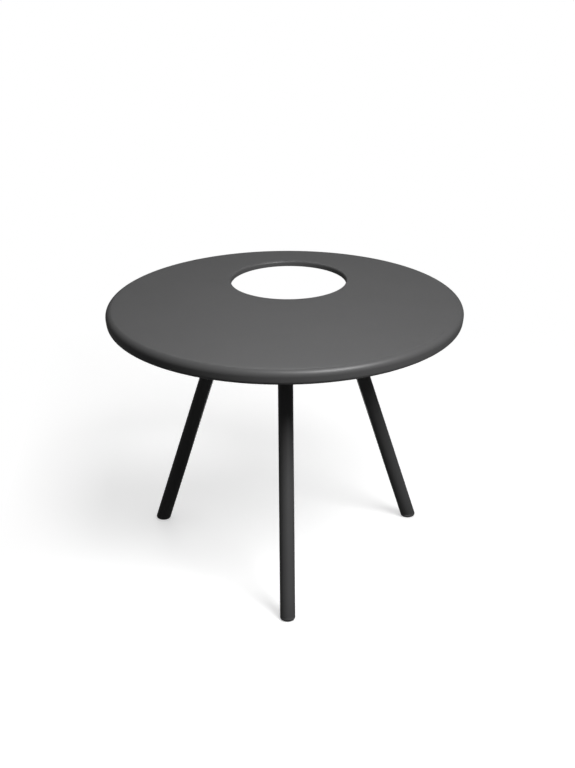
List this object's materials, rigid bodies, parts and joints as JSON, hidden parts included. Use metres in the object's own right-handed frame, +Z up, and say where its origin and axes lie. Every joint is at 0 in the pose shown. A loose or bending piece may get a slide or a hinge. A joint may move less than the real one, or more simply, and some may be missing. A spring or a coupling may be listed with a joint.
{
  "type": "planter side table",
  "caption": "Low round side table with a soft rolled rim, an off-centre opening that holds a hanging planter, and splayed tubular legs that screw into mounts under the top.",
  "frame": {"origin": "on the floor, below the centre of the round top", "axes": "+Z up; the front leg points to -Y; the planter opening is on the +Y side, a little to +X"},
  "size_m": [0.6, 0.6, 0.455],
  "materials": {
    "top_coat": "anthracite grey powder coat, smooth and matt",
    "leg_coat": "anthracite grey powder coat, fine matt texture",
    "mount_coat": "cast alloy, anthracite grey powder coat",
    "plated_steel": "zinc plated",
    "washer_plastic": "moulded black nylon",
    "glide_plastic": "moulded dark grey polyethylene, fine grain"
  },
  "bodies": {
    "root": {"table_top": "top_coat", "mount_weld_studs": "plated_steel", "mount_flange_nuts": "plated_steel", "leg_mount_front": "mount_coat", "leg_stud_front": "plated_steel", "seat_washer_front": "washer_plastic", "leg_insert_front": "leg_coat", "leg_tube_front": "leg_coat", "foot_glide_front": "glide_plastic", "leg_mount_right": "mount_coat", "leg_stud_right": "plated_steel", "seat_washer_right": "washer_plastic", "leg_insert_right": "leg_coat", "leg_tube_right": "leg_coat", "foot_glide_right": "glide_plastic", "leg_mount_left": "mount_coat", "leg_stud_left": "plated_steel", "seat_washer_left": "washer_plastic", "leg_insert_left": "leg_coat", "leg_tube_left": "leg_coat", "foot_glide_left": "glide_plastic"}
  },
  "joints": []
}
